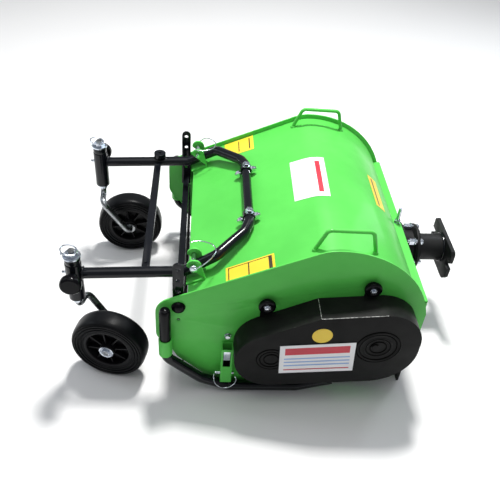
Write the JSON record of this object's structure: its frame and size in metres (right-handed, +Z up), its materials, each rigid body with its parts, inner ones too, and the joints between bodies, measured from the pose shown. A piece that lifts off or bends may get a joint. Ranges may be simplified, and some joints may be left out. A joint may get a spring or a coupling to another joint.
{
  "type": "flail mower attachment",
  "caption": "Flail mower head for a walking tractor: arched hood over a hammer rotor, belt drive under a side cover, rear coupling, trailing casters on a tube frame and pinned skids.",
  "frame": {"origin": "on the ground under the middle of the object's box", "axes": "+X is the way the machine is driven, towards the casters; +Y is its left side, with the belt cover; +Z is up"},
  "size_m": [1.03, 0.728, 0.5148],
  "materials": {
    "green_paint": "glossy",
    "black_paint": "satin",
    "cast_black": "semi-matt paint",
    "zinc_plate": "bright zinc plate",
    "bare_steel": "worn",
    "black_rubber": "matt",
    "tyre": "matt",
    "black_plastic": "moulded"
  },
  "bodies": {
    "mower_body": {"hood_shell": "green_paint", "rear_panel": "green_paint", "gearbox_housing": "cast_black", "coupling_housing": "cast_black", "coupling_flange": "cast_black", "belt_cover": "black_paint", "drive_belt": "black_rubber", "frame_cross_tube": "black_paint", "brace_bar": "black_paint", "brace_boss": "bare_steel", "front_guard": "black_paint", "side_plate_left": "green_paint", "rotor_bearing_left": "cast_black", "front_arm_left": "black_paint", "caster_tube_left": "black_paint", "clevis_left": "green_paint", "grab_handle_left": "green_paint", "skid_socket_left": "green_paint", "skid_channel_left": "green_paint", "side_plate_right": "green_paint", "rotor_bearing_right": "cast_black", "front_arm_right": "black_paint", "caster_tube_right": "black_paint", "clevis_right": "green_paint", "grab_handle_right": "green_paint", "skid_socket_right": "green_paint", "skid_channel_right": "green_paint"},
    "rotor": {"rotor": "black_paint", "rotor_pulley": "cast_black"},
    "cross_shaft": {"cross_shaft": "bare_steel", "drive_pulley": "cast_black"},
    "input_shaft": {"input_shaft": "bare_steel"},
    "flail_1": {"flail_1": "bare_steel"},
    "flail_2": {"flail_2": "bare_steel"},
    "flail_3": {"flail_3": "bare_steel"},
    "flail_4": {"flail_4": "bare_steel"},
    "flail_5": {"flail_5": "bare_steel"},
    "flail_6": {"flail_6": "bare_steel"},
    "caster_left": {"caster_crank_left": "zinc_plate", "caster_cap_left": "zinc_plate"},
    "wheel_left": {"tyre_left": "tyre", "wheel_hub_left": "black_plastic"},
    "skid_left": {"skid_left": "black_paint"},
    "skid_pin_left": {"skid_pin_left": "zinc_plate"},
    "clevis_pin_left": {"clevis_pin_left": "zinc_plate"},
    "lock_knob_left": {"lock_knob_left": "black_plastic"},
    "caster_right": {"caster_crank_right": "zinc_plate", "caster_cap_right": "zinc_plate"},
    "wheel_right": {"tyre_right": "tyre", "wheel_hub_right": "black_plastic"},
    "skid_right": {"skid_right": "black_paint"},
    "skid_pin_right": {"skid_pin_right": "zinc_plate"},
    "clevis_pin_right": {"clevis_pin_right": "zinc_plate"},
    "lock_knob_right": {"lock_knob_right": "black_plastic"},
    "cover_knob_front": {"cover_knob_front": "black_plastic"},
    "cover_knob_rear": {"cover_knob_rear": "black_plastic"},
    "front_flap": {"front_flap": "black_rubber"},
    "rear_flap": {"rear_flap": "black_rubber"}
  },
  "joints": [
    {"name": "rotor_spin", "type": "hinge", "parent": "mower_body", "child": "rotor", "pos_m": [0.007, -0.019, 0.183], "axis": [0, 1, 0], "continuous": true},
    {"name": "cross_shaft_spin", "type": "hinge", "parent": "mower_body", "child": "cross_shaft", "pos_m": [-0.247, -0.019, 0.237], "axis": [0, 1, 0], "continuous": true},
    {"name": "input_spin", "type": "hinge", "parent": "mower_body", "child": "input_shaft", "pos_m": [-0.382, -0.019, 0.237], "axis": [1, 0, 0], "continuous": true},
    {"name": "flail_1_swing", "type": "hinge", "parent": "rotor", "child": "flail_1", "pos_m": [0.075, -0.157, 0.183], "axis": [0, 1, 0], "range_deg": [-115, 40]},
    {"name": "flail_2_swing", "type": "hinge", "parent": "rotor", "child": "flail_2", "pos_m": [0.075, 0.027, 0.183], "axis": [0, 1, 0], "range_deg": [-115, 40]},
    {"name": "flail_3_swing", "type": "hinge", "parent": "rotor", "child": "flail_3", "pos_m": [0.075, 0.211, 0.183], "axis": [0, 1, 0], "range_deg": [-115, 40]},
    {"name": "flail_4_swing", "type": "hinge", "parent": "rotor", "child": "flail_4", "pos_m": [-0.061, -0.249, 0.183], "axis": [0, 1, 0], "range_deg": [-40, 115]},
    {"name": "flail_5_swing", "type": "hinge", "parent": "rotor", "child": "flail_5", "pos_m": [-0.061, -0.065, 0.183], "axis": [0, 1, 0], "range_deg": [-40, 115]},
    {"name": "flail_6_swing", "type": "hinge", "parent": "rotor", "child": "flail_6", "pos_m": [-0.061, 0.119, 0.183], "axis": [0, 1, 0], "range_deg": [-40, 115]},
    {"name": "caster_left_swivel", "type": "hinge", "parent": "mower_body", "child": "caster_left", "pos_m": [0.486, 0.222, 0.3], "axis": [0, 0, 1], "continuous": true},
    {"name": "wheel_left_spin", "type": "hinge", "parent": "caster_left", "child": "wheel_left", "pos_m": [0.41292, 0.23887, 0.099], "axis": [0.225, 0.9744, 0], "continuous": true},
    {"name": "skid_left_height", "type": "slide", "parent": "mower_body", "child": "skid_left", "axis": [0, 0, 1], "range_m": [-0.075, 0]},
    {"name": "skid_pin_left_pull", "type": "slide", "parent": "mower_body", "child": "skid_pin_left", "axis": [1, 0, 0], "range_m": [0, 0.034]},
    {"name": "clevis_pin_left_pull", "type": "slide", "parent": "mower_body", "child": "clevis_pin_left", "axis": [0, 1, 0], "range_m": [0, 0.065]},
    {"name": "lock_knob_left_turn", "type": "hinge", "parent": "mower_body", "child": "lock_knob_left", "pos_m": [0.486, 0.261, 0.334], "axis": [0, 1, 0], "continuous": true},
    {"name": "caster_right_swivel", "type": "hinge", "parent": "mower_body", "child": "caster_right", "pos_m": [0.486, -0.26, 0.3], "axis": [0, 0, 1], "continuous": true},
    {"name": "wheel_right_spin", "type": "hinge", "parent": "caster_right", "child": "wheel_right", "pos_m": [0.41105, -0.26262, 0.099], "axis": [-0.0349, 0.9994, 0], "continuous": true},
    {"name": "skid_right_height", "type": "slide", "parent": "mower_body", "child": "skid_right", "axis": [0, 0, 1], "range_m": [-0.075, 0]},
    {"name": "skid_pin_right_pull", "type": "slide", "parent": "mower_body", "child": "skid_pin_right", "axis": [1, 0, 0], "range_m": [0, 0.034]},
    {"name": "clevis_pin_right_pull", "type": "slide", "parent": "mower_body", "child": "clevis_pin_right", "axis": [0, -1, 0], "range_m": [0, 0.065]},
    {"name": "lock_knob_right_turn", "type": "hinge", "parent": "mower_body", "child": "lock_knob_right", "pos_m": [0.486, -0.299, 0.334], "axis": [0, 1, 0], "continuous": true},
    {"name": "cover_knob_front_turn", "type": "hinge", "parent": "mower_body", "child": "cover_knob_front", "pos_m": [0.024, 0.309, 0.31], "axis": [0, 1, 0], "continuous": true},
    {"name": "cover_knob_rear_turn", "type": "hinge", "parent": "mower_body", "child": "cover_knob_rear", "pos_m": [-0.22, 0.309, 0.373], "axis": [0, 1, 0], "continuous": true},
    {"name": "front_flap_swing", "type": "hinge", "parent": "mower_body", "child": "front_flap", "pos_m": [0.224, -0.019, 0.224], "axis": [0, 1, 0], "range_deg": [-30, 10]},
    {"name": "rear_flap_swing", "type": "hinge", "parent": "mower_body", "child": "rear_flap", "pos_m": [-0.364, -0.019, 0.16], "axis": [0, 1, 0], "range_deg": [-10, 55]}
  ],
  "couplings": [
    {"joint": "cross_shaft_spin", "follows": "rotor_spin", "ratio": 0.69697},
    {"joint": "input_spin", "follows": "rotor_spin", "ratio": 0.69697}
  ]
}
